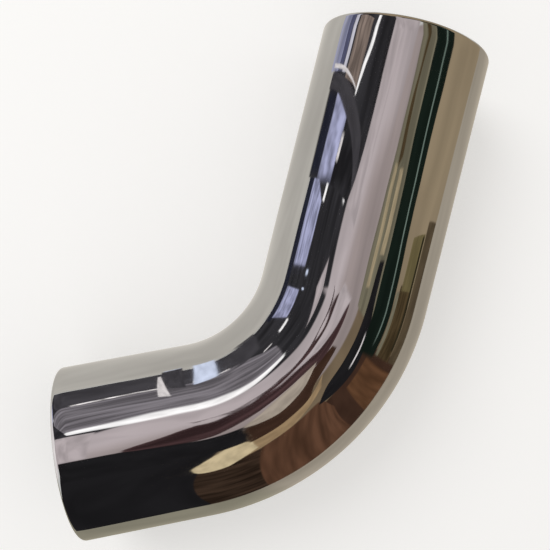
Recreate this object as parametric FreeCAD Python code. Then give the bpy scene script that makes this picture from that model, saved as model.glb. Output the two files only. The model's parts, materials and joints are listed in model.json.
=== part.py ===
import FreeCAD, Part

import math
import os

# Exhaust elbow: one length of round steel tube with a single mandrel bend and two plain ends.
# It lies on its side, so the bend's plane is level and +Z is up. The origin is on the tube's
# centreline, where the short leg runs into the bend. The short leg's mouth faces -X, and the
# long leg leaves the bend towards +X and +Y.
# All lengths are in millimetres and all angles in degrees.

# Tube stock
OUTER_DIAMETER = 63.5
WALL = 2.0

# Bend, measured on the tube's centreline
BEND_RADIUS = 68.5
BEND_ANGLE = 66.0

# Straight legs, from each mouth to the start of the bend
SHORT_LEG = 47.5
LONG_LEG = 97.0

# Rims: the outside edge is buffed round before plating, the inside edge has a deburring chamfer,
# and at least a narrow flat ring is left between them
RIM_OUTER_RADIUS = 1.5
RIM_INNER_CHAMFER = 0.4
RIM_FLAT = 0.1

# Seam bead left inside by the tube's weld, on the bend's neutral line and ground off near the mouths
BEAD_WIDTH = 2.6
BEAD_HEIGHT = 0.25
BEAD_SETBACK = 3.0

# Values that follow from the sizes above
OUTER_RADIUS = OUTER_DIAMETER / 2
BORE_RADIUS = OUTER_RADIUS - WALL
RIM_OUTER_FIT = min(RIM_OUTER_RADIUS, WALL - RIM_INNER_CHAMFER - RIM_FLAT)
BEAD_ROOT = WALL / 2

ORIGIN = FreeCAD.Vector(0, 0, 0)
ALONG_SHORT_LEG = FreeCAD.Vector(1, 0, 0)
UP = FreeCAD.Vector(0, 0, 1)
BEND_START = ORIGIN
BEND_CENTRE = BEND_START + FreeCAD.Vector(0, BEND_RADIUS, 0)
TURN = FreeCAD.Rotation(UP, BEND_ANGLE)
BEND_END = BEND_CENTRE + TURN.multVec(BEND_START - BEND_CENTRE)
ALONG_LONG_LEG = TURN.multVec(ALONG_SHORT_LEG)
SHORT_MOUTH = BEND_START - ALONG_SHORT_LEG * SHORT_LEG
LONG_MOUTH = BEND_END + ALONG_LONG_LEG * LONG_LEG


def leg_wall(length):
    """Straight tube along +X with its mouth at the origin: the wall's section turned round the X axis."""

    def at(along, out):
        return FreeCAD.Vector(along, 0, out)

    round_start = at(RIM_OUTER_FIT, OUTER_RADIUS)
    round_end = at(0, OUTER_RADIUS - RIM_OUTER_FIT)
    round_inset = RIM_OUTER_FIT * (1 - math.sqrt(0.5))
    round_middle = at(round_inset, OUTER_RADIUS - round_inset)
    plain_edges = Part.makePolygon([
        round_end,
        at(0, BORE_RADIUS + RIM_INNER_CHAMFER),
        at(RIM_INNER_CHAMFER, BORE_RADIUS),
        at(length, BORE_RADIUS),
        at(length, OUTER_RADIUS),
        round_start,
    ])
    rim_round = Part.Arc(round_start, round_middle, round_end).toShape()
    section = Part.Face(Part.Wire(plain_edges.Edges + [rim_round]))
    return section.revolve(ORIGIN, ALONG_SHORT_LEG, 360)


def bend_wall():
    """The bend: the tube's ring turned about the upright line through the bend's centre."""
    circles = [
        Part.Wire(Part.makeCircle(radius, BEND_START, ALONG_SHORT_LEG))
        for radius in (OUTER_RADIUS, BORE_RADIUS)
    ]
    ring = Part.makeFace(circles, "Part::FaceMakerBullseye")
    return ring.revolve(BEND_CENTRE, UP, BEND_ANGLE)


def bead_section(centre):
    """Low crown on the bore's floor, square to the short leg at a point of its axis, rooted in the wall."""

    def at(across, above_floor):
        return centre + FreeCAD.Vector(0, across, above_floor - BORE_RADIUS)

    half = BEAD_WIDTH / 2
    crown = Part.Arc(at(-half, 0), at(0, BEAD_HEIGHT), at(half, 0)).toShape()
    root = Part.makePolygon([at(half, 0), at(half, -BEAD_ROOT), at(-half, -BEAD_ROOT), at(-half, 0)])
    return Part.Face(Part.Wire([crown] + root.Edges))


def weld_bead():
    """The seam bead's three runs: short leg, bend and long leg."""
    start = SHORT_MOUTH + ALONG_SHORT_LEG * BEAD_SETBACK
    short_run = bead_section(start).extrude(BEND_START - start)
    bend_run = bead_section(BEND_START).revolve(BEND_CENTRE, UP, BEND_ANGLE)
    turned = bead_section(BEND_START)
    turned.rotate(BEND_CENTRE, UP, BEND_ANGLE)
    long_run = turned.extrude(ALONG_LONG_LEG * (LONG_LEG - BEAD_SETBACK))
    return [short_run, bend_run, long_run]


def elbow_tube():
    """The whole elbow as one solid."""
    short_leg = leg_wall(SHORT_LEG)
    short_leg.Placement = FreeCAD.Placement(SHORT_MOUTH, FreeCAD.Rotation())
    long_leg = leg_wall(LONG_LEG)
    long_leg.Placement = FreeCAD.Placement(LONG_MOUTH, FreeCAD.Rotation(UP, BEND_ANGLE + 180))
    tube = short_leg.fuse([bend_wall(), long_leg])
    return tube.fuse(weld_bead()).removeSplitter()


def main():
    tube = elbow_tube()
    wall_area = math.pi * (OUTER_RADIUS**2 - BORE_RADIUS**2)
    centreline = SHORT_LEG + math.radians(BEND_ANGLE) * BEND_RADIUS + LONG_LEG
    print("solids", len(tube.Solids), "valid", tube.isValid(), "faces", len(tube.Faces))
    print("volume", round(tube.Volume), "plain wall times centreline", round(wall_area * centreline))
    os.makedirs("parts", exist_ok=True)
    tube.Solids[0].exportStep("parts/elbow_tube.step")


main()
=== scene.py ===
import json
import math

import bpy
from mathutils import Matrix, Vector


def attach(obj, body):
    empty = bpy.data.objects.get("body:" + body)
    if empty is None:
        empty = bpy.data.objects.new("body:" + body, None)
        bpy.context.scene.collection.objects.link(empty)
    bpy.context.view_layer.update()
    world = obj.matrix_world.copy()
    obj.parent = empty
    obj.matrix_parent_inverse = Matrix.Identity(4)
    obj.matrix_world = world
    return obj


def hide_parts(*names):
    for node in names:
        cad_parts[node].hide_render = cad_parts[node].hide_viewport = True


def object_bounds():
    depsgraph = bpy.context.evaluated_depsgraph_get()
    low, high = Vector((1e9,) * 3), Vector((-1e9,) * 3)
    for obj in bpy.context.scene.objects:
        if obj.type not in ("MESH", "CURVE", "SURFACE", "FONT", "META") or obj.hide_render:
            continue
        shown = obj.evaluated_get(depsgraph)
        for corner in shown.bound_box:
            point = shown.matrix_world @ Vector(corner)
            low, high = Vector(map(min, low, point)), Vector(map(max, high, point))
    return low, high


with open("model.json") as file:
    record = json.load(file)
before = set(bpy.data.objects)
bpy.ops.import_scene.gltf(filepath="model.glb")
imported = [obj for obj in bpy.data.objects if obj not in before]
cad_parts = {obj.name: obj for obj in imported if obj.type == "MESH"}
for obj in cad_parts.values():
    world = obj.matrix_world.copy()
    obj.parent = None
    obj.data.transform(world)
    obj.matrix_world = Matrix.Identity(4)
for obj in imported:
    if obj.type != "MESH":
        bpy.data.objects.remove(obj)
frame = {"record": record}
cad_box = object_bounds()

# Exhaust elbow: one chrome-plated tube with a single bend, lying on a pale floor.
# Lengths are in metres. Angles that are written out are in degrees. Colours are linear.

# Wall, rims and seam bead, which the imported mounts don't give
WALL = 0.002
RIM_ROUND = 0.0015
RIM_CHAMFER = 0.0004
BEAD_WIDTH = 0.0026
BEAD_HEIGHT = 0.00025
BEAD_SETBACK = 0.003
BEAD_RUN_OUT = 0.001

# The tube's line, from the two ends that clamps go on
MOUNTS = {mount["name"]: mount for mount in frame["record"]["mounts"]}
SHORT_END = MOUNTS["short_end"]
LONG_END = MOUNTS["long_end"]
OUTER_RADIUS = SHORT_END["dims"]["r_mm"] / 1000
BORE_RADIUS = OUTER_RADIUS - WALL
SHORT_LEG = SHORT_END["dims"]["length_mm"] / 1000 + RIM_ROUND
LONG_LEG = LONG_END["dims"]["length_mm"] / 1000 + RIM_ROUND
BEND_START = Vector(SHORT_END["pos_m"])
BEND_END = Vector(LONG_END["pos_m"])
ALONG_SHORT_LEG = -Vector(SHORT_END["axis"])
ALONG_LONG_LEG = Vector(LONG_END["axis"])
TURN_AXIS = ALONG_SHORT_LEG.cross(ALONG_LONG_LEG).normalized()
BEND_TURN = ALONG_SHORT_LEG.angle(ALONG_LONG_LEG)
BEND_RADIUS = (BEND_END - BEND_START).length / (2 * math.sin(BEND_TURN / 2))
BEND_CENTRE = BEND_START + TURN_AXIS.cross(ALONG_SHORT_LEG) * BEND_RADIUS
BEND_LENGTH = BEND_RADIUS * BEND_TURN
TUBE_LENGTH = SHORT_LEG + BEND_LENGTH + LONG_LEG

# How finely the tube is divided
LEG_STEP = 0.004
BEND_STEP = 0.0012
ROUND_STEPS = 6
BEAD_STEPS = 8
SIDE_STEPS = 176
SHARP_EDGE = 35

# Chrome outside
CHROME_CLEAR = (0.54, 0.545, 0.545, 1)
CHROME_HAZY = (0.515, 0.518, 0.516, 1)
CHROME_LINE_ROUGHNESS = 0.02
CHROME_LINE_HEIGHT = 0.0000006
CHROME_WAVE_HEIGHT = 0.0002

# Thin plate and bare steel inside
PLATE_CLEAR = (0.6, 0.6, 0.595, 1)
PLATE_HAZY = (0.5, 0.497, 0.49, 1)
STEEL_CLEAR = (0.46, 0.45, 0.437, 1)
STEEL_HAZY = (0.36, 0.35, 0.335, 1)
PLATE_FADE = (0.004, 0.06)
SEAM_TINT = (0.3, 0.235, 0.18, 1)
SEAM_TINT_SHARE = 0.55
SEAM_TINT_FADE = (0.0015, 0.006)
BORE_LINE_ROUGHNESS = 0.08
BORE_LINE_HEIGHT = 0.000004
BORE_WAVE_HEIGHT = 0.0001

# Noise levels between which haze and streaks run
HAZE_LEVELS = (0.38, 0.66)
STREAK_LEVELS = (0.3, 0.7)

# Camera
CAMERA_PLACE = Vector((0.01638, 0.06276, 0.27976))
CAMERA_AIM = Vector((0.03795, 0.05197, 0.0))
CAMERA_TURN = 9.92
CAMERA_LENS_MM = 48.57
CAMERA_SENSOR_MM = 36

# Floor, and the places of the cards round it
FLOOR_LEVEL = cad_box[0].z
FLOOR_RADIUS = 5.0
FLOOR_CORNERS = 96
STAGE_CENTRE = Vector(((cad_box[0].x + cad_box[1].x) / 2, (cad_box[0].y + cad_box[1].y) / 2, 0))
FAR_REACH = 1.8
WARM_REACH = 0.3
COOL_REACH = 0.36
ZENITH_LEVEL = 1.95
CEILING_LEVEL = 0.2
SHEET_GAP = 0.065
LAYER_GAP = 0.0015
PANEL_TURN = -50
CARD_STEPS = 24
MAT_LIFT = 0.0005

# Backdrop, floor finish and light
BACKDROP_COLOUR = (1.0, 0.99, 0.975, 1)
FLOOR_COLOUR = (0.86, 0.852, 0.84, 1)
FLOOR_MOTTLE = (0.848, 0.84, 0.828, 1)
FLOOR_GLOW = (1, 0.995, 0.985, 1)
FILL_LEVEL = 0.55
BACKDROP_LEVEL = 0.95
FLOOR_LIFT = 0.34
FAR_FLOOR_LIFT = 0.46
FLOOR_FADE = (0.6, 2.2)
KEY_WATTS = 6.0
KEY_SIZE = 0.95
KEY_AZIMUTH = 125
KEY_HEIGHT = 48
KEY_REACH = 1.6


def add_node(tree, kind, **settings):
    """A new node, with its settings."""
    node = tree.nodes.new(kind)
    for name, value in settings.items():
        setattr(node, name, value)
    return node


def feed(tree, node, **sources):
    """Sets a node's inputs by name, with _ for a space: from another node's output, or to a plain value."""
    for name, source in sources.items():
        socket = node.inputs[name.replace("_", " ")]
        if isinstance(source, bpy.types.NodeSocket):
            tree.links.new(source, socket)
        else:
            socket.default_value = source


def calculate(tree, operation, first, second=0.0, third=0.0):
    """One step of arithmetic on values."""
    node = add_node(tree, "ShaderNodeMath", operation=operation)
    for socket, source in zip(node.inputs, (first, second, third)):
        if isinstance(source, bpy.types.NodeSocket):
            tree.links.new(source, socket)
        else:
            socket.default_value = source
    return node.outputs["Value"]


def remap(tree, value, from_low, from_high, to_low, to_high, smooth=False):
    """A value moved from one range to another, held at the ends."""
    node = add_node(tree, "ShaderNodeMapRange", interpolation_type="SMOOTHSTEP" if smooth else "LINEAR")
    feed(tree, node, Value=value, From_Min=from_low, From_Max=from_high, To_Min=to_low, To_Max=to_high)
    return node.outputs["Result"]


def mix_colours(tree, share, first, second):
    """Two colours mixed by a share from 0 to 1."""
    node = add_node(tree, "ShaderNodeMix", data_type="RGBA")
    colour_sockets = [socket for socket in node.inputs if socket.type == "RGBA"]
    for socket, source in zip([node.inputs[0]] + colour_sockets, (share, first, second)):
        if isinstance(source, bpy.types.NodeSocket):
            tree.links.new(source, socket)
        else:
            socket.default_value = source
    return next(socket for socket in node.outputs if socket.type == "RGBA")


def new_group(name, inputs, outputs):
    """An empty shader node group. Inputs and outputs are given as name to kind of socket."""
    tree = bpy.data.node_groups.new(name, "ShaderNodeTree")
    for socket, kind in inputs.items():
        tree.interface.new_socket(socket, in_out="INPUT", socket_type="NodeSocket" + kind)
    for socket, kind in outputs.items():
        tree.interface.new_socket(socket, in_out="OUTPUT", socket_type="NodeSocket" + kind)
    return tree, tree.nodes.new("NodeGroupInput").outputs, tree.nodes.new("NodeGroupOutput")


def place_group(tree, group, **sources):
    """A group placed in a material, with its inputs set. Gives its outputs."""
    node = add_node(tree, "ShaderNodeGroup", node_tree=group)
    feed(tree, node, **sources)
    return node.outputs


def buffing_lines():
    """Fine lines along the tube. Surface is metres along and metres around."""
    inputs = {"Surface": "Vector", "Length": "Float", "Spacing": "Float"}
    tree, given, result = new_group("buffing_lines", inputs, {"Lines": "Float"})
    surface = add_node(tree, "ShaderNodeSeparateXYZ")
    feed(tree, surface, Vector=given["Surface"])
    stretched = add_node(tree, "ShaderNodeCombineXYZ")
    along = calculate(tree, "DIVIDE", surface.outputs["X"], given["Length"])
    around = calculate(tree, "DIVIDE", surface.outputs["Y"], given["Spacing"])
    feed(tree, stretched, X=along, Y=around)
    noise = add_node(tree, "ShaderNodeTexNoise", noise_dimensions="2D")
    feed(tree, noise, Vector=stretched.outputs["Vector"], Scale=1.0, Detail=3.0, Roughness=0.6)
    feed(tree, result, Lines=noise.outputs["Fac"])
    return tree


def plating_haze():
    """Patches of clear and hazy plate. Place is a point in metres, and Size is how wide a patch is."""
    inputs = {"Place": "Vector", "Size": "Float", "Clear": "Float", "Hazy": "Float"}
    tree, given, result = new_group("plating_haze", inputs, {"Haze": "Float", "Roughness": "Float"})
    noise = add_node(tree, "ShaderNodeTexNoise")
    scale = calculate(tree, "DIVIDE", 1.0, given["Size"])
    feed(tree, noise, Vector=given["Place"], Scale=scale, Detail=4.0, Roughness=0.55)
    haze = remap(tree, noise.outputs["Fac"], *HAZE_LEVELS, 0.0, 1.0, smooth=True)
    feed(tree, result, Haze=haze, Roughness=remap(tree, haze, 0.0, 1.0, given["Clear"], given["Hazy"]))
    return tree


def metal_waves():
    """Slow waves that drawing and bending leave in the wall, as a height from 0 to 1."""
    tree, given, result = new_group("metal_waves", {"Place": "Vector", "Size": "Float"}, {"Height": "Float"})
    noise = add_node(tree, "ShaderNodeTexNoise")
    scale = calculate(tree, "DIVIDE", 1.0, given["Size"])
    feed(tree, noise, Vector=given["Place"], Scale=scale, Detail=1.0, Roughness=0.4)
    feed(tree, result, Height=noise.outputs["Fac"])
    return tree


def card_feather():
    """How solid a card is: 1 inside, falling to 0 at its edges. Sheet runs from 0 to 1 across and up."""
    inputs = {"Sheet": "Vector", "Across": "Float", "Up": "Float"}
    tree, given, result = new_group("card_feather", inputs, {"Solid": "Float"})
    sheet = add_node(tree, "ShaderNodeSeparateXYZ")
    feed(tree, sheet, Vector=given["Sheet"])
    shares = []
    for axis, feather in (("X", "Across"), ("Y", "Up")):
        place = sheet.outputs[axis]
        from_edge = calculate(tree, "MINIMUM", place, calculate(tree, "SUBTRACT", 1.0, place))
        shares.append(remap(tree, from_edge, 0.0, given[feather], 0.0, 1.0, smooth=True))
    feed(tree, result, Solid=calculate(tree, "MULTIPLY", *shares))
    return tree


def card_wash():
    """A card's colour with soft streaks, so that its reflection isn't flat."""
    inputs = {"Sheet": "Vector", "Colour": "Color", "Across": "Float", "Up": "Float", "Amount": "Float"}
    tree, given, result = new_group("card_wash", inputs, {"Colour": "Color"})
    sheet = add_node(tree, "ShaderNodeSeparateXYZ")
    feed(tree, sheet, Vector=given["Sheet"])
    stretched = add_node(tree, "ShaderNodeCombineXYZ")
    across = calculate(tree, "MULTIPLY", sheet.outputs["X"], given["Across"])
    up = calculate(tree, "MULTIPLY", sheet.outputs["Y"], given["Up"])
    feed(tree, stretched, X=across, Y=up)
    noise = add_node(tree, "ShaderNodeTexNoise", noise_dimensions="2D")
    feed(tree, noise, Vector=stretched.outputs["Vector"], Scale=1.0, Detail=2.0, Roughness=0.5)
    swing = remap(tree, noise.outputs["Fac"], *STREAK_LEVELS, -1.0, 1.0)
    level = calculate(tree, "MULTIPLY_ADD", swing, given["Amount"], 1.0)
    washed = add_node(tree, "ShaderNodeVectorMath", operation="SCALE")
    tree.links.new(given["Colour"], washed.inputs[0])
    tree.links.new(level, washed.inputs["Scale"])
    feed(tree, result, Colour=washed.outputs["Vector"])
    return tree


BUFFING_LINES = buffing_lines()
PLATING_HAZE = plating_haze()
METAL_WAVES = metal_waves()
CARD_FEATHER = card_feather()
CARD_WASH = card_wash()


def new_material(name):
    """A material with an empty Principled shader."""
    material = bpy.data.materials.new(name)
    material.use_nodes = True
    return material, material.node_tree, material.node_tree.nodes["Principled BSDF"]


def bump(tree, height, distance, under=None):
    """A normal raised by a height from 0 to 1, over another normal if there is one."""
    node = add_node(tree, "ShaderNodeBump")
    feed(tree, node, Height=height, Distance=distance, Strength=1.0)
    if under:
        feed(tree, node, Normal=under)
    return node.outputs["Normal"]


def mirror_chrome():
    """Bright chrome plate on buffed steel, for the outside and the rims."""
    material, tree, shader = new_material("mirror_chrome")
    surface = add_node(tree, "ShaderNodeUVMap", uv_map="tube_surface").outputs["UV"]
    place = add_node(tree, "ShaderNodeTexCoord").outputs["Object"]
    lines = place_group(tree, BUFFING_LINES, Surface=surface, Length=0.08, Spacing=0.0007)["Lines"]
    haze = place_group(tree, PLATING_HAZE, Place=place, Size=0.035, Clear=0.02, Hazy=0.05)
    waves = place_group(tree, METAL_WAVES, Place=place, Size=0.026)["Height"]
    roughness = calculate(tree, "MULTIPLY_ADD", lines, CHROME_LINE_ROUGHNESS, haze["Roughness"])
    colour = mix_colours(tree, haze["Haze"], CHROME_CLEAR, CHROME_HAZY)
    normal = bump(tree, lines, CHROME_LINE_HEIGHT, under=bump(tree, waves, CHROME_WAVE_HEIGHT))
    feed(tree, shader, Base_Color=colour, Metallic=1.0, Roughness=roughness, Normal=normal)
    return material


def dull_bore():
    """Thin dull plate inside the tube: greyer and rougher away from the mouths, with a heat-tinted seam."""
    material, tree, shader = new_material("dull_bore")
    surface = add_node(tree, "ShaderNodeUVMap", uv_map="tube_surface").outputs["UV"]
    place = add_node(tree, "ShaderNodeTexCoord").outputs["Object"]
    axes = add_node(tree, "ShaderNodeSeparateXYZ")
    feed(tree, axes, Vector=surface)
    along = axes.outputs["X"]
    around = axes.outputs["Y"]
    depth = calculate(tree, "MINIMUM", along, calculate(tree, "SUBTRACT", TUBE_LENGTH, along))
    bare = remap(tree, depth, *PLATE_FADE, 0.0, 1.0, smooth=True)
    girth = 2 * math.pi * OUTER_RADIUS
    from_seam = calculate(tree, "MINIMUM", around, calculate(tree, "SUBTRACT", girth, around))
    seam = remap(tree, from_seam, *SEAM_TINT_FADE, SEAM_TINT_SHARE, 0.0, smooth=True)
    lines = place_group(tree, BUFFING_LINES, Surface=surface, Length=0.05, Spacing=0.0009)["Lines"]
    haze = place_group(tree, PLATING_HAZE, Place=place, Size=0.012, Clear=0.3, Hazy=0.46)
    waves = place_group(tree, METAL_WAVES, Place=place, Size=0.016)["Height"]
    plated = mix_colours(tree, haze["Haze"], PLATE_CLEAR, PLATE_HAZY)
    steel = mix_colours(tree, haze["Haze"], STEEL_CLEAR, STEEL_HAZY)
    wall = mix_colours(tree, bare, plated, steel)
    colour = mix_colours(tree, seam, wall, SEAM_TINT)
    roughness = calculate(tree, "MULTIPLY_ADD", lines, BORE_LINE_ROUGHNESS, haze["Roughness"])
    normal = bump(tree, lines, BORE_LINE_HEIGHT, under=bump(tree, waves, BORE_WAVE_HEIGHT))
    feed(tree, shader, Base_Color=colour, Metallic=1.0, Roughness=roughness, Normal=normal)
    return material


def seen_directly(tree):
    """1 for what the camera sees, and for what shows in metal and glass."""
    path = add_node(tree, "ShaderNodeLightPath").outputs
    seen = calculate(tree, "MAXIMUM", path["Is Camera Ray"], path["Is Glossy Ray"])
    return calculate(tree, "MAXIMUM", seen, path["Is Transmission Ray"])


def pale_floor():
    """Plain matt floor, with the faintest mottle. Far out, where the lamp doesn't reach,
    it rises to the backdrop's level."""
    material, tree, shader = new_material("pale_floor")
    place = add_node(tree, "ShaderNodeTexCoord").outputs["Object"]
    haze = place_group(tree, PLATING_HAZE, Place=place, Size=0.4, Clear=0.85, Hazy=0.9)
    colour = mix_colours(tree, haze["Haze"], FLOOR_COLOUR, FLOOR_MOTTLE)
    away = add_node(tree, "ShaderNodeVectorMath", operation="LENGTH")
    feed(tree, away, Vector=place)
    lift = remap(tree, away.outputs["Value"], *FLOOR_FADE, FLOOR_LIFT, FAR_FLOOR_LIFT, smooth=True)
    lift = calculate(tree, "MULTIPLY", seen_directly(tree), lift)
    feed(
        tree, shader, Base_Color=colour, Roughness=haze["Roughness"], Specular_IOR_Level=0.1,
        Emission_Color=FLOOR_GLOW, Emission_Strength=lift,
    )
    return material


def even_steps(start, end, step):
    """Places from start to end, about a step apart, both included."""
    count = max(1, round((end - start) / step))
    return [start + (end - start) * index / count for index in range(count + 1)]


def tube_place(distance):
    """The centreline at a distance from the short mouth: its point and its direction."""
    past_short_leg = distance - SHORT_LEG
    past_bend = past_short_leg - BEND_LENGTH
    if past_short_leg <= 0:
        return BEND_START + ALONG_SHORT_LEG * past_short_leg, ALONG_SHORT_LEG
    if past_bend >= 0:
        return BEND_END + ALONG_LONG_LEG * past_bend, ALONG_LONG_LEG
    turn = Matrix.Rotation(past_short_leg / BEND_RADIUS, 3, TURN_AXIS)
    return BEND_CENTRE + turn @ (BEND_START - BEND_CENTRE), turn @ ALONG_SHORT_LEG


def wall_stations(margin):
    """Places along the wall from mouth to mouth, closer together in the bend."""
    bend_end = SHORT_LEG + BEND_LENGTH
    legs_and_bend = (
        (margin, SHORT_LEG, LEG_STEP),
        (SHORT_LEG, bend_end, BEND_STEP),
        (bend_end, TUBE_LENGTH - margin, LEG_STEP),
    )
    stations = [margin]
    for start, end, step in legs_and_bend:
        stations += even_steps(start, end, step)[1:]
    return stations


def rim_profile():
    """The rim from the outside wall to the bore, as (distance in from the mouth, radius)."""
    rounded = []
    for index in range(1, ROUND_STEPS + 1):
        angle = math.pi / 2 * index / ROUND_STEPS
        inset = RIM_ROUND * (1 - math.sin(angle))
        rounded.append((inset, OUTER_RADIUS - RIM_ROUND * (1 - math.cos(angle))))
    return rounded + [(0.0, BORE_RADIUS + RIM_CHAMFER)]


def bead_fade(distance):
    """How much of the seam bead's height there is at a distance from the short mouth."""
    depth = min(distance, TUBE_LENGTH - distance)
    return min(1.0, max(0.0, (depth - BEAD_SETBACK) / BEAD_RUN_OUT))


def around_angles():
    """Angles round the section from the seam, closer together over the bead."""
    bead_half = BEAD_WIDTH / 2 / BORE_RADIUS
    over_bead = [bead_half * (2 * index / BEAD_STEPS - 1) for index in range(BEAD_STEPS + 1)]
    first = over_bead[BEAD_STEPS // 2:]
    last = [angle + 2 * math.pi for angle in over_bead[:BEAD_STEPS // 2]]
    sides = even_steps(bead_half, 2 * math.pi - bead_half, 2 * math.pi / SIDE_STEPS)[1:-1]
    return first + sides + last + [2 * math.pi]


def tube_rings():
    """Every ring of the wall in turn: outside, long rim, bore and short rim.
    Each is (distance along the tube, radius, whether it is in the bore)."""
    rim = rim_profile()
    outside = [(distance, OUTER_RADIUS, False) for distance in wall_stations(RIM_ROUND)]
    long_rim = [(TUBE_LENGTH - inset, radius, False) for inset, radius in rim]
    bore_places = wall_stations(RIM_CHAMFER)
    bead_ends = [BEAD_SETBACK, BEAD_SETBACK + BEAD_RUN_OUT]
    bead_ends += [TUBE_LENGTH - place for place in bead_ends]
    bore_places = sorted(bore_places + bead_ends, reverse=True)
    bore = [(distance, BORE_RADIUS, True) for distance in bore_places]
    short_rim = [(inset, radius, False) for inset, radius in reversed(rim)]
    return outside + long_rim + bore + short_rim


def elbow_tube(chrome, bore):
    """The tube's wall as one closed skin of quads."""
    rings = tube_rings()
    angles = around_angles()
    sides = len(angles) - 1
    bead_half = BEAD_WIDTH / 2 / BORE_RADIUS
    vertices = []
    for distance, radius, in_bore in rings:
        centre, along = tube_place(distance)
        outward = along.cross(TURN_AXIS)
        for angle in angles[:-1]:
            reach = radius
            if in_bore:
                off_crown = min(angle, 2 * math.pi - angle) / bead_half
                reach -= BEAD_HEIGHT * bead_fade(distance) * max(0.0, 1 - off_crown ** 2)
            side = outward * math.sin(angle) - TURN_AXIS * math.cos(angle)
            vertices.append(centre + side * reach)

    faces = []
    finishes = []
    surface = []
    for index, (distance, radius, in_bore) in enumerate(rings):
        following = (index + 1) % len(rings)
        next_distance = rings[following][0]
        for side in range(sides):
            next_side = (side + 1) % sides
            faces.append((
                index * sides + side,
                following * sides + side,
                following * sides + next_side,
                index * sides + next_side,
            ))
            finishes.append(1 if in_bore and rings[following][2] else 0)
            low = angles[side] * OUTER_RADIUS
            high = angles[side + 1] * OUTER_RADIUS
            surface += [distance, low, next_distance, low, next_distance, high, distance, high]

    mesh = bpy.data.meshes.new("elbow_tube_chrome")
    mesh.from_pydata(vertices, [], faces)
    mesh.uv_layers.new(name="tube_surface").data.foreach_set("uv", surface)
    mesh.materials.append(chrome)
    mesh.materials.append(bore)
    mesh.polygons.foreach_set("material_index", finishes)
    mesh.shade_smooth()
    mesh.set_sharp_from_angle(angle=math.radians(SHARP_EDGE))
    mesh.update()
    piece = bpy.data.objects.new("elbow_tube_chrome", mesh)
    bpy.context.collection.objects.link(piece)
    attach(piece, "root")
    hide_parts("elbow_tube")


def direction_to(azimuth, height):
    """The direction to an azimuth and a height above the horizon."""
    turn = math.radians(azimuth)
    rise = math.radians(height)
    return Vector((math.cos(rise) * math.cos(turn), math.cos(rise) * math.sin(turn), math.sin(rise)))


def stage_piece(name, vertices, faces, material):
    """A piece of the stage."""
    mesh = bpy.data.meshes.new(name)
    mesh.from_pydata(vertices, [], faces)
    mesh.materials.append(material)
    piece = bpy.data.objects.new(name, mesh)
    bpy.context.collection.objects.link(piece)
    return piece


def floor():
    """A wide round floor at the level that the tube lies on."""
    rim = []
    for index in range(FLOOR_CORNERS):
        point = STAGE_CENTRE + direction_to(360 * index / FLOOR_CORNERS, 0) * FLOOR_RADIUS
        rim.append((point.x, point.y, FLOOR_LEVEL))
    stage_piece("floor", rim, [tuple(range(FLOOR_CORNERS))], pale_floor())


def card_material(name, colour, feather, streaks, amount, opacity, one_sided):
    """A glowing card with soft streaks and feathered edges. The back of a one-sided card is clear."""
    material, tree, shader = new_material(name)
    material.cycles.emission_sampling = "NONE"
    sheet = add_node(tree, "ShaderNodeUVMap", uv_map="sheet").outputs["UV"]
    washed = place_group(
        tree, CARD_WASH, Sheet=sheet, Colour=(*colour, 1), Across=streaks[0], Up=streaks[1], Amount=amount
    )
    solid = place_group(tree, CARD_FEATHER, Sheet=sheet, Across=feather[0], Up=feather[1])["Solid"]
    alpha = calculate(tree, "MULTIPLY", solid, opacity)
    if one_sided:
        back = add_node(tree, "ShaderNodeNewGeometry").outputs["Backfacing"]
        alpha = calculate(tree, "MULTIPLY", alpha, calculate(tree, "SUBTRACT", 1.0, back))
    feed(
        tree, shader, Base_Color=(0, 0, 0, 1), Roughness=1.0, Specular_IOR_Level=0.0,
        Emission_Color=washed["Colour"], Emission_Strength=1.0, Alpha=alpha,
    )
    return material


def hang(
    name, place, colour, feather=(0.03, 0.03), streaks=(6, 2), amount=0.15, opacity=1.0, one_sided=False,
):
    """A card whose points are place(across, up), each from 0 to 1. Only the chrome sees it:
    it stays out of the camera's view and out of the light on the floor."""
    vertices = []
    places = []
    for row in range(CARD_STEPS + 1):
        for column in range(CARD_STEPS + 1):
            spot = (column / CARD_STEPS, row / CARD_STEPS)
            vertices.append(place(*spot))
            places.append(spot)
    faces = []
    for row in range(CARD_STEPS):
        for column in range(CARD_STEPS):
            corner = row * (CARD_STEPS + 1) + column
            faces.append((corner, corner + 1, corner + CARD_STEPS + 2, corner + CARD_STEPS + 1))
    material = card_material(name, colour, feather, streaks, amount, opacity, one_sided)
    piece = stage_piece(name, vertices, faces, material)
    sheet = [value for face in faces for corner in face for value in places[corner]]
    piece.data.uv_layers.new(name="sheet").data.foreach_set("uv", sheet)
    piece.visible_camera = False
    piece.visible_diffuse = False
    piece.visible_shadow = False
    piece.visible_transmission = False


def smooth_point(points, share):
    """The place at a share of the way along a smooth line through a few points."""
    last = len(points) - 1
    index = min(int(share * last), last - 1)
    step = share * last - index
    start = Vector(points[index])
    end = Vector(points[index + 1])
    leaving = (end - Vector(points[max(index - 1, 0)])) / 2
    arriving = (Vector(points[min(index + 2, last)]) - start) / 2
    swing = step * step * (3 - 2 * step)
    return (
        start.lerp(end, swing)
        + leaving * step * (1 - step) ** 2
        - arriving * step ** 2 * (1 - step)
    )


def warm(layer):
    """The near ring on the warm side: a point is an azimuth and a height above the horizon.
    A higher layer hangs in front."""

    def at(azimuth, height):
        return STAGE_CENTRE + direction_to(azimuth, height) * (WARM_REACH - LAYER_GAP * layer)

    return at


def far(azimuth, height):
    """The far ring, behind the others, with its points given as on the near ring."""
    return STAGE_CENTRE + direction_to(azimuth, height) * FAR_REACH


def low_ceiling(layer):
    """A level not far over the tube: a point is X and Y in millimetres."""

    def at(x, y):
        return Vector((x / 1000, y / 1000, CEILING_LEVEL - LAYER_GAP * layer))

    return at


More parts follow.
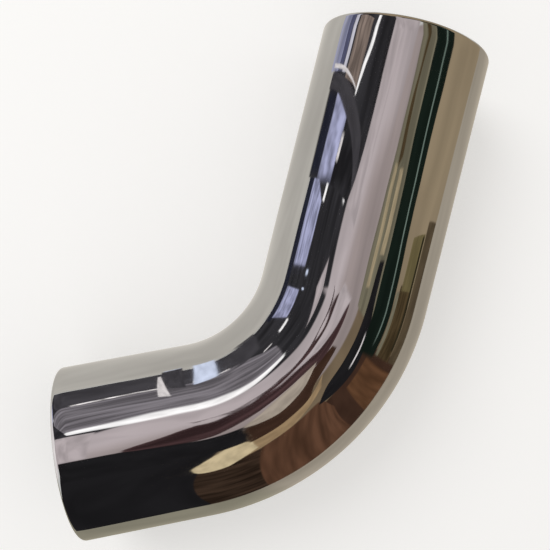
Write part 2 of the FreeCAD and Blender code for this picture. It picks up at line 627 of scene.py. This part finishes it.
def zenith(x, y):
    """The level of the far ring's top: a point is X and Y in millimetres."""
    return Vector((x / 1000, y / 1000, ZENITH_LEVEL))


def cool(layer):
    """The ring on the cool side, a little further out than the warm one, with points given the same way."""

    def at(azimuth, height):
        return STAGE_CENTRE + direction_to(azimuth, height) * (COOL_REACH - LAYER_GAP * layer)

    return at


def beside_long_leg(layer):
    """An upright sheet that stands clear of the long leg's inner side.
    A point is how far from the bend and how high, in millimetres."""
    inward = TURN_AXIS.cross(ALONG_LONG_LEG)
    out = OUTER_RADIUS + SHEET_GAP - LAYER_GAP * layer

    def at(along, level):
        return BEND_END + ALONG_LONG_LEG * (along / 1000) + inward * out + Vector((0, 0, level / 1000))

    return at


def facing_bend(x, y):
    """An upright sheet through X and Y, with its face to the bend and its back to the long leg.
    A point is how far along it and how high. All are in millimetres."""
    along = direction_to(PANEL_TURN, 0)

    def at(side, level):
        return (Vector((x, y, level)) + along * side) / 1000

    return at


def along_y(x):
    """An upright sheet along Y: a point is Y and a height. All are in millimetres."""

    def at(y, level):
        return Vector((x, y, level)) / 1000

    return at


def on_floor(layer):
    """Just over the floor: a point is X and Y in millimetres."""

    def at(x, y):
        return Vector((x / 1000, y / 1000, FLOOR_LEVEL + MAT_LIFT * (1 + layer)))

    return at


def cut_card(name, at, low_edge, high_edge, colour, **finish):
    """A card between two smooth edges, each a line through a few points. at says where it hangs."""

    def place(across, up):
        return at(*smooth_point(low_edge, across).lerp(smooth_point(high_edge, across), up))

    hang(name, place, colour, **finish)


def card(name, at, sides, levels, colour, **finish):
    """A card with straight edges, from side to side and from one level to another."""
    low_edge = [(sides[0], levels[0]), (sides[1], levels[0])]
    high_edge = [(sides[0], levels[1]), (sides[1], levels[1])]
    cut_card(name, at, low_edge, high_edge, colour, **finish)


# Card colours
BLACK = (0.02, 0.019, 0.021)
NAVY = (0.029, 0.031, 0.05)
SOFT_BLACK = (0.045, 0.043, 0.048)
CHARCOAL = (0.088, 0.082, 0.092)
GREY_LILAC = (0.3, 0.272, 0.3)
DUSK_BLUE = (0.14, 0.145, 0.25)
STONE = (0.368, 0.283, 0.242)
LILAC = (0.55, 0.56, 0.82)
MAUVE = (0.52, 0.43, 0.42)
LAVENDER = (0.74, 0.64, 0.655)
PALE_LAVENDER = (0.96, 0.93, 1.06)
OFF_WHITE = (1.2, 1.12, 1.12)
WHITE = (1.75, 1.7, 1.7)
COOL_WHITE = (1.1, 1.2, 1.5)
MAROON = (0.1, 0.053, 0.055)
DARK_BROWN = (0.075, 0.038, 0.025)
UMBER = (0.055, 0.033, 0.022)
RUST = (0.15, 0.072, 0.042)
OCHRE = (0.17, 0.08, 0.04)
BROWN = (0.135, 0.098, 0.058)
OLIVE = (0.11, 0.074, 0.036)
PALE_OLIVE = (0.25, 0.2, 0.092)
DARK_OLIVE = (0.04, 0.033, 0.018)
TAUPE = (0.26, 0.19, 0.12)
SAND = (0.5, 0.34, 0.19)
STRAW = (0.29, 0.26, 0.18)
GOLD = (0.58, 0.465, 0.295)
CREAM = (0.95, 0.77, 0.48)
PALE_STONE = (0.62, 0.52, 0.43)
TAN = (0.455, 0.352, 0.229)
GREEN_BLACK = (0.012, 0.02, 0.015)
PALE_TEAL = (0.25, 0.33, 0.28)
# Painted reflection: a greyer floor than the camera sees, which only the chrome mirrors
REFLECTED_FLOOR_GREY = (0.74, 0.7, 0.64)
# Painted shadow: the tone of a shaded floor, which only the chrome mirrors on the warm side
WARM_FLOOR_SHADE = (0.52, 0.455, 0.368)
# Painted shadow: the tone of a deeply shaded floor, which only the chrome mirrors beside the short leg
DEEP_FLOOR_SHADE = (0.385, 0.355, 0.27)


def warm_cards():
    """Cards on the side that the bend's outside and the long leg's right mirror, and two mats on the floor
    there that paint floor shade into what only the chrome mirrors.
    """
    card("warm_backing", warm(0), (-125, -20), (-9, 74), TAUPE)
    card("umber_panel", warm(1), (-106, -84), (-9, 47), UMBER, streaks=(2, 14), amount=0.5)
    card("brown_gap", warm(1), (-64, -39), (-9, 48), DARK_BROWN)
    card("ochre_panel", warm(2), (-55, -43), (-9, 40), OCHRE, streaks=(6, 1), amount=0.3)
    card("tan_panel", warm(1), (-26, 95), (-9, 37), TAN, streaks=(5, 2), amount=0.1)
    card("brown_foot", warm(2), (-41, -13), (-9, 8), BROWN, feather=(0.03, 0.1))
    card("olive_panel", warm(2), (-41, -22), (8, 27), OLIVE, streaks=(2, 6), amount=0.4)
    card("pale_olive_panel", warm(3), (-23, -15), (8, 25), PALE_OLIVE, streaks=(1, 4), amount=0.2)
    card("straw_strip", warm(3), (-41, -23), (26, 31), STRAW, feather=(0.03, 0.2))
    card("dark_olive_line", warm(4), (-38, -15), (8, 12), DARK_OLIVE, feather=(0.05, 0.3))
    cut_card(
        "black_flag", warm(5),
        [(-150, -9), (-100, -9)],
        [(-150, 66), (-107, 66)],
        BLACK, feather=(0.01, 0.03),
    )
    cut_card(
        "rust_panel", warm(2),
        [(-86, -9), (-60, -9)],
        [(-88, 48), (-76, 52), (-66, 53), (-61, 36)],
        RUST, streaks=(9, 1), amount=0.35,
    )
    cut_card(
        "sand_strip", warm(3),
        [(-93, 44), (-83, 49), (-76, 51), (-72, 56), (-66, 64)],
        [(-97, 58), (-87, 60), (-77, 62), (-72, 66), (-68, 73)],
        SAND,
    )
    cut_card(
        "cream_panel", warm(6),
        [(-107, 44), (-104, 38), (-98, 39), (-94, 43), (-89, 49)],
        [(-107, 46), (-106, 53), (-104, 60), (-101, 62), (-93, 57)],
        CREAM,
    )
    cut_card(
        "straw_band", warm(1),
        [(-36, 51), (-15, 52), (10, 49), (30, 42), (60, 30)],
        [(-34, 75), (-4, 75), (20, 70), (38, 61), (60, 44)],
        STRAW, streaks=(1, 5), amount=0.3,
    )
    cut_card(
        "gold_strip", warm(3),
        [(-23, 66), (2, 65), (15, 63)],
        [(-23, 71), (8, 69), (21, 66)],
        GOLD, feather=(0.03, 0.2),
    )
    cut_card(
        "lower_gold_strip", warm(3),
        [(-15, 58), (7, 57)],
        [(-13, 64), (11, 61)],
        GOLD, feather=(0.03, 0.15),
    )
    cut_card(
        "olive_line", warm(3),
        [(12, 60), (30, 56), (38, 48), (60, 38)],
        [(14, 64), (31, 60), (39, 52), (62, 41)],
        OLIVE, feather=(0.05, 0.12),
    )
    cut_card(
        "black_wedge", warm(4),
        [(-67, 50), (-58, 46), (-46, 45), (-30, 54), (-16, 56)],
        [(-67, 51), (-62, 60), (-49, 62), (-31, 63), (-15, 61)],
        BLACK,
    )
    cut_card(
        "green_black_band", warm(5),
        [(-43, 32), (-25, 31), (-11, 34), (2, 33), (16, 30), (45, 23)],
        [(-45, 52), (-25, 54), (-6, 54), (13, 52), (29, 46), (65, 33)],
        GREEN_BLACK,
    )
    cut_card(
        "teal_line", warm(6),
        [(-40, 38), (-25, 37), (-10, 40), (5, 39), (20, 36), (48, 28)],
        [(-40, 40), (-25, 39), (-10, 42), (5, 41), (20, 38), (50, 30)],
        PALE_TEAL, feather=(0.1, 0.3),
    )
    cut_card(
        "white_dash", warm(6),
        [(-51, 50), (-44, 51), (-37, 53)],
        [(-51, 52), (-44, 53), (-37, 55)],
        OFF_WHITE, feather=(0.25, 0.3),
    )
    # Painted shadow: a shaded floor on the warm side that only the chrome mirrors, while the camera sees the
    # pale floor
    cut_card(
        "warm_painted_floor_shade", on_floor(0),
        [(0, 0), (37, 11), (62, 41), (105, 135)],
        [(10, -300), (230, -220), (340, 0), (380, 240)],
        WARM_FLOOR_SHADE, feather=(0.08, 0.01), amount=0.08,
    )
    # Painted shadow: a deeper shaded floor beside the short leg that only the chrome mirrors
    cut_card(
        "dark_painted_floor_shade", on_floor(1),
        [(-70, 0), (-20, 0), (30, 8)],
        [(-330, -60), (-150, -290), (80, -300)],
        DEEP_FLOOR_SHADE, feather=(0.15, 0.01), amount=0.08,
    )


def top_cards():
    """Cards overhead, which the top of the tube mirrors."""
    card("mauve_top", zenith, (-900, 980), (-900, 1000), MAUVE, feather=(0.05, 0.05))
    card("lavender_sky", far, (60, 192), (38, 82), LAVENDER, feather=(0.05, 0.3))
    cut_card(
        "black_top", low_ceiling(0),
        [(-125, -75), (-53, -75), (-12, -75), (28, -69)],
        [(-125, 9), (-51, 11), (-11, -4), (11, -5)],
        BLACK,
    )
    cut_card(
        "brown_top", low_ceiling(0),
        [(26, -82), (55, -69), (68, -48), (60, -18), (68, 8)],
        [(9, -5), (32, -19), (37, 0), (35, 19), (54, 19)],
        DARK_BROWN,
    )
    cut_card(
        "maroon_flag", low_ceiling(1),
        [(-54, 10), (-11, -5), (16, 28), (44, 17), (62, 36)],
        [(-54, 15), (-11, 58), (-14, 77), (-6, 68), (16, 60)],
        MAROON, streaks=(2, 3), amount=0.5,
    )
    cut_card(
        "lavender_sliver", low_ceiling(2),
        [(0, 55), (13, 46), (29, 39), (70, 35)],
        [(-6, 63), (-1, 60), (5, 60), (28, 64)],
        LAVENDER, feather=(0.1, 0.1),
    )
    cut_card(
        "pale_lens", low_ceiling(2),
        [(11, -10), (23, -20), (38, -24), (42, -5), (34, 23)],
        [(10, -6), (13, 10), (16, 27), (24, 28), (33, 25)],
        PALE_STONE,
    )
    card("lavender_end", low_ceiling(2), (-150, -70), (10, 122), LAVENDER, feather=(0.05, 0.05))


def cool_cards():
    """Cards on the side that the bend's inside mirrors, and a mat on the floor with a painted reflection of
    a greyer floor than the camera sees.
    """
    cut_card(
        "dark_backing", cool(0),
        [(60, -9), (159, -9)],
        [(60, 44), (100, 50), (117, 58), (138, 60), (159, 64)],
        SOFT_BLACK, streaks=(3, 10), amount=0.4,
    )
    cut_card(
        "lilac_streaks", cool(1),
        [(95, 20), (112, 20), (124, 20), (136, 36)],
        [(95, 56), (112, 56), (122, 56), (138, 52)],
        GREY_LILAC, streaks=(2, 12), amount=0.45,
    )
    card("charcoal_strip", cool(2), (95, 126), (-9, 20), CHARCOAL, amount=0.2)
    card("navy_foot", cool(2), (139, 159), (-9, 3), NAVY)
    cut_card(
        "white_band", cool(2),
        [(98, 51), (107, 51), (115, 50), (125, 51), (139, 51)],
        [(98, 63), (107, 63), (116, 62), (125, 60), (139, 55)],
        WHITE, feather=(0.04, 0.3),
    )
    card(
        "white_line", cool(3), (103, 118), (18, 20.5), OFF_WHITE,
        feather=(0.05, 0.3), streaks=(9, 1), amount=0.6,
    )
    card("post_foot", cool(3), (131.5, 135), (28, 30), OFF_WHITE, feather=(0.2, 0.3))
    cut_card(
        "lilac_window", cool(3),
        [(141, 2), (155, 3)],
        [(145, 24), (155, 24)],
        LILAC, streaks=(4, 8), amount=0.4, feather=(0.06, 0.06),
    )
    card("white_sill", cool(4), (139, 145), (24, 28), WHITE, feather=(0.1, 0.3))
    card("white_glint", cool(4), (155, 156), (26, 31), COOL_WHITE, feather=(0.4, 0.4))
    card(
        "cool_box", facing_bend(-12, 110), (-8, 8), (-1, 54), COOL_WHITE,
        feather=(0.06, 0.04), one_sided=True,
    )
    card("dark_screen", facing_bend(-9, 78), (-9, 7), (7, 44), CHARCOAL, amount=0.2, one_sided=True)
    cut_card(
        "pale_tower", facing_bend(-15, 77),
        [(-5, 56), (-1, 16)],
        [(5, 56), (1, 16)],
        OFF_WHITE, one_sided=True,
    )
    card("pale_end", along_y(-150), (-30, 105), (-31, 150), OFF_WHITE)
    # Painted reflection: a greyer floor on the cool side that only the chrome mirrors, in place of the pale
    # floor
    cut_card(
        "painted_floor_reflection", on_floor(0),
        [(-70, 0), (0, 0), (37, 11), (62, 41), (105, 135)],
        [(-340, -10), (-290, 190), (-140, 330), (0, 390), (130, 400)],
        REFLECTED_FLOOR_GREY, feather=(0.02, 0.01), amount=0.08,
    )


def sheet_cards():
    """Cards beside the long leg, which its inner side mirrors near the mouth."""
    card("lavender_sheet", beside_long_leg(0), (46, 230), (160, 320), LAVENDER)
    cut_card(
        "dark_sheet", beside_long_leg(1),
        [(46, 3), (80, 0), (180, 1)],
        [(46, 150), (80, 180), (180, 172)],
        SOFT_BLACK, streaks=(2, 4), amount=0.5,
    )
    card("navy_edge", beside_long_leg(2), (46, 88), (5, 25), NAVY, feather=(0.2, 0.1))
    card(
        "lilac_pane", beside_long_leg(3), (44, 90), (24, 62), LILAC,
        streaks=(4, 2), amount=0.45, feather=(0.2, 0.08),
    )
    card("white_fleck", beside_long_leg(3), (56, 72), (59, 68), OFF_WHITE, feather=(0.3, 0.3))
    cut_card(
        "slate_hook", beside_long_leg(4),
        [(85, 1), (84, 24), (77, 59), (64, 120), (52, 150)],
        [(94, 1), (93, 24), (90, 60), (79, 130), (62, 165)],
        CHARCOAL, feather=(0.02, 0.1),
    )
    card("stone_panel", beside_long_leg(2), (92, 135), (33, 70), STONE, streaks=(2, 5), amount=0.4)
    card("lilac_strip", beside_long_leg(3), (94, 150), (22, 31), PALE_LAVENDER, feather=(0.02, 0.25))
    card("navy_strip", beside_long_leg(3), (94, 150), (13, 22), DUSK_BLUE)
    card(
        "low_lilac_strip", beside_long_leg(3), (94, 150), (-6, 13), LILAC,
        streaks=(1, 3), amount=0.3, opacity=0.8,
    )
    cut_card(
        "white_arm", beside_long_leg(5),
        [(90, 67), (92, 47), (94, 24), (95, 0)],
        [(91, 67), (94, 47), (97, 24), (98, 0)],
        OFF_WHITE, feather=(0.05, 0.3),
    )
    cut_card(
        "white_bar", beside_long_leg(5),
        [(88, 66), (102, 68), (117, 75), (150, 79)],
        [(89, 70), (104, 79), (119, 87), (150, 89)],
        WHITE, feather=(0.03, 0.25),
    )


def soft_world():
    """Plain pale light from all round. The camera and the chrome see the same pale backdrop."""
    world = bpy.data.worlds.new("soft_world")
    world.use_nodes = True
    tree = world.node_tree
    level = remap(tree, seen_directly(tree), 0.0, 1.0, FILL_LEVEL, BACKDROP_LEVEL)
    feed(tree, tree.nodes["Background"], Color=BACKDROP_COLOUR, Strength=level)
    bpy.context.scene.world = world


def key_lamp():
    """A broad soft lamp from the cool side, which lays the tube's shadow to the warm side."""
    data = bpy.data.lights.new("key_lamp", "AREA")
    data.shape = "DISK"
    data.size = KEY_SIZE
    data.energy = KEY_WATTS
    lamp = bpy.data.objects.new("key_lamp", data)
    bpy.context.collection.objects.link(lamp)
    direction = direction_to(KEY_AZIMUTH, KEY_HEIGHT)
    lamp.location = STAGE_CENTRE + direction * KEY_REACH
    lamp.rotation_mode = "QUATERNION"
    lamp.rotation_quaternion = (-direction).to_track_quat("-Z", "Y")
    lamp.visible_glossy = False


def camera():
    """The camera, looking down on the tube."""
    data = bpy.data.cameras.new("camera")
    data.lens = CAMERA_LENS_MM
    data.sensor_width = CAMERA_SENSOR_MM
    eye = bpy.data.objects.new("camera", data)
    bpy.context.collection.objects.link(eye)
    forward = (CAMERA_AIM - CAMERA_PLACE).normalized()
    turn = math.radians(CAMERA_TURN)
    right = forward.cross(Vector((math.sin(turn), math.cos(turn), 0))).normalized()
    axes = Matrix((right, right.cross(forward), -forward)).transposed()
    eye.matrix_world = Matrix.Translation(CAMERA_PLACE) @ axes.to_4x4()
    bpy.context.scene.camera = eye


elbow_tube(mirror_chrome(), dull_bore())
floor()
warm_cards()
top_cards()
cool_cards()
sheet_cards()
soft_world()
key_lamp()
camera()
bpy.context.scene.view_settings.view_transform = "Standard"
